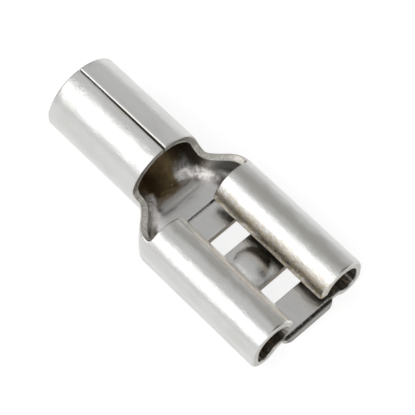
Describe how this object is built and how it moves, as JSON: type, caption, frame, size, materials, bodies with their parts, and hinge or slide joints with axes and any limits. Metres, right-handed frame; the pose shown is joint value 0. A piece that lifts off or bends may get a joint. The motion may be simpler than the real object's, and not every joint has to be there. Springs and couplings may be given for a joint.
{
  "type": "female spade terminal",
  "caption": "Push-on spade receptacle rolled from one sheet: a butt-seamed wire barrel, an open flared neck, and two wings curled over a windowed floor with a detent dimple.",
  "frame": {"origin": "centre of the footprint, on the surface that the terminal rests on", "axes": "+X along the terminal from the wire barrel to the tab's mouth, +Z the side that the wings curl to"},
  "size_m": [0.017, 0.0074, 0.0045],
  "materials": {
    "tinned_brass": "bright tin plate over brass, with bare sheared edges"
  },
  "bodies": {
    "root": {"spade_terminal": "tinned_brass"}
  },
  "joints": []
}
